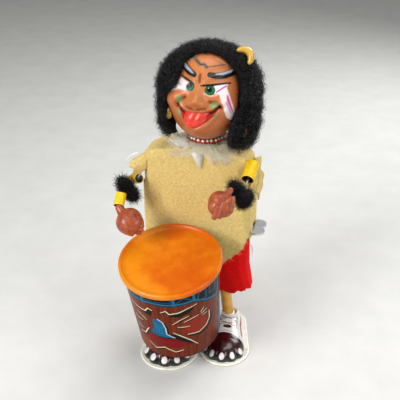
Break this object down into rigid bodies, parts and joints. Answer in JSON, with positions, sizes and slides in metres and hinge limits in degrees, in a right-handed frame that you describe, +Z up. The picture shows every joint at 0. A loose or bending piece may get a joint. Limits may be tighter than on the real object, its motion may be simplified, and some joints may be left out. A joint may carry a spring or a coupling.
{
  "type": "wind-up drummer doll",
  "caption": "Tin and felt clockwork drummer doll: swinging arms and a turning head over a leaning drum, driven by a side winding key.",
  "frame": {"origin": "middle of the whole object's footprint, on the surface it stands on", "axes": "+Z up; the doll looks along -Y; its left hand side and the winding key are +X"},
  "size_m": [0.099, 0.1166, 0.2253],
  "materials": {
    "sole_enamel": "glossy cream enamel on tin",
    "shoe_litho": "glossy printed tin, white upper and dark maroon toe",
    "steel": "bright stamped steel",
    "key_steel": "nickelled stamped steel",
    "spring_steel": "blued spring steel",
    "brass": "satin cut brass",
    "yellow_tin": "glossy yellow tan enamel on tin",
    "red_felt": "soft red felt",
    "drum_litho": "glossy printed tin, carved wood pattern",
    "drum_orange": "glossy orange enamel on tin",
    "tan_felt": "napped tan flannel felt",
    "cream_fringe": "long loose cream mohair",
    "bead_cord": "red cord with white beads",
    "yellow_sleeve": "glossy yellow enamelled tube",
    "black_fur": "curly black mohair fur",
    "painted_skin": "glossy painted hollow moulding",
    "yellow_ring": "glossy yellow rings"
  },
  "bodies": {
    "figure": {"right_sole": "sole_enamel", "left_sole": "sole_enamel", "right_shoe": "shoe_litho", "left_shoe": "shoe_litho", "foot_bridge": "steel", "right_leg": "yellow_tin", "left_leg": "yellow_tin", "waist_plate": "steel", "shorts": "red_felt", "torso_front": "yellow_tin", "torso_back": "yellow_tin", "frame_plate_right": "steel", "frame_plate_left": "steel", "frame_pillars": "steel", "plate_screws": "steel", "mainspring": "spring_steel", "shoulder_bushes": "steel", "neck_bush": "steel", "drum_shell": "drum_litho", "drum_head": "drum_orange", "drum_base": "drum_litho", "drum_bracket": "steel", "tunic": "tan_felt", "collar_fringe": "cream_fringe", "necklace": "bead_cord"},
    "key_train": {"winding_key": "key_steel", "winding_arbor": "steel", "great_wheel": "brass", "ratchet_wheel": "steel", "click": "steel", "click_spring": "spring_steel"},
    "second_train": {"second_wheel": "brass", "second_arbor": "steel"},
    "crank_train": {"crank_wheel": "brass", "crank_arbor": "steel", "crank_discs": "steel"},
    "governor": {"governor_arbor": "steel", "governor_fly": "brass"},
    "right_arm": {"right_arm_shaft": "steel", "right_arm_wire": "steel", "right_upper_sleeve": "yellow_sleeve", "right_lower_sleeve": "yellow_sleeve", "right_fur_cuff": "black_fur", "right_hand": "painted_skin"},
    "right_rod": {"right_rod": "steel"},
    "left_arm": {"left_arm_shaft": "steel", "left_arm_wire": "steel", "left_upper_sleeve": "yellow_sleeve", "left_lower_sleeve": "yellow_sleeve", "left_fur_cuff": "black_fur", "left_hand": "painted_skin"},
    "left_rod": {"left_rod": "steel"},
    "head": {"head_shell": "painted_skin", "neck_post": "steel", "head_lever": "steel", "wig": "black_fur", "right_earring": "yellow_ring", "left_earring": "yellow_ring", "hair_ring": "yellow_ring"}
  },
  "joints": [
    {"name": "key_spin", "type": "hinge", "parent": "figure", "child": "key_train", "pos_m": [0.00104, 0.02934, 0.089], "axis": [1, 0, 0], "continuous": true},
    {"name": "second_spin", "type": "hinge", "parent": "figure", "child": "second_train", "pos_m": [0.00104, 0.02934, 0.1022], "axis": [1, 0, 0], "continuous": true},
    {"name": "crank_spin", "type": "hinge", "parent": "figure", "child": "crank_train", "pos_m": [0.00104, 0.02934, 0.1148], "axis": [1, 0, 0], "continuous": true},
    {"name": "governor_spin", "type": "hinge", "parent": "figure", "child": "governor", "pos_m": [0.00104, 0.02511, 0.12386], "axis": [1, 0, 0], "continuous": true},
    {"name": "right_arm_swing", "type": "hinge", "parent": "figure", "child": "right_arm", "pos_m": [-0.01196, 0.02534, 0.139], "axis": [-1, 0, 0], "range_deg": [0, 28]},
    {"name": "right_rod_pivot", "type": "hinge", "parent": "right_arm", "child": "right_rod", "pos_m": [-0.01831, 0.03213, 0.14069], "axis": [1, 0, 0], "range_deg": [0, 28]},
    {"name": "left_arm_swing", "type": "hinge", "parent": "figure", "child": "left_arm", "pos_m": [0.01404, 0.02534, 0.139], "axis": [1, 0, 0], "range_deg": [0, 28]},
    {"name": "left_rod_pivot", "type": "hinge", "parent": "left_arm", "child": "left_rod", "pos_m": [0.02039, 0.03213, 0.13731], "axis": [-1, 0, 0], "range_deg": [0, 28]},
    {"name": "head_turn", "type": "hinge", "parent": "figure", "child": "head", "pos_m": [0.00704, 0.02534, 0.15], "axis": [0, 0, 1], "range_deg": [0, 20]}
  ],
  "couplings": [
    {"joint": "second_spin", "follows": "key_spin", "ratio": -3.4},
    {"joint": "crank_spin", "follows": "key_spin", "ratio": 10.88},
    {"joint": "governor_spin", "follows": "key_spin", "ratio": -32.64},
    {"joint": "right_rod_pivot", "follows": "right_arm_swing", "ratio": 1},
    {"joint": "left_arm_swing", "follows": "right_arm_swing", "ratio": 1},
    {"joint": "left_rod_pivot", "follows": "right_arm_swing", "ratio": 1},
    {"joint": "head_turn", "follows": "right_arm_swing", "ratio": 0.7}
  ]
}
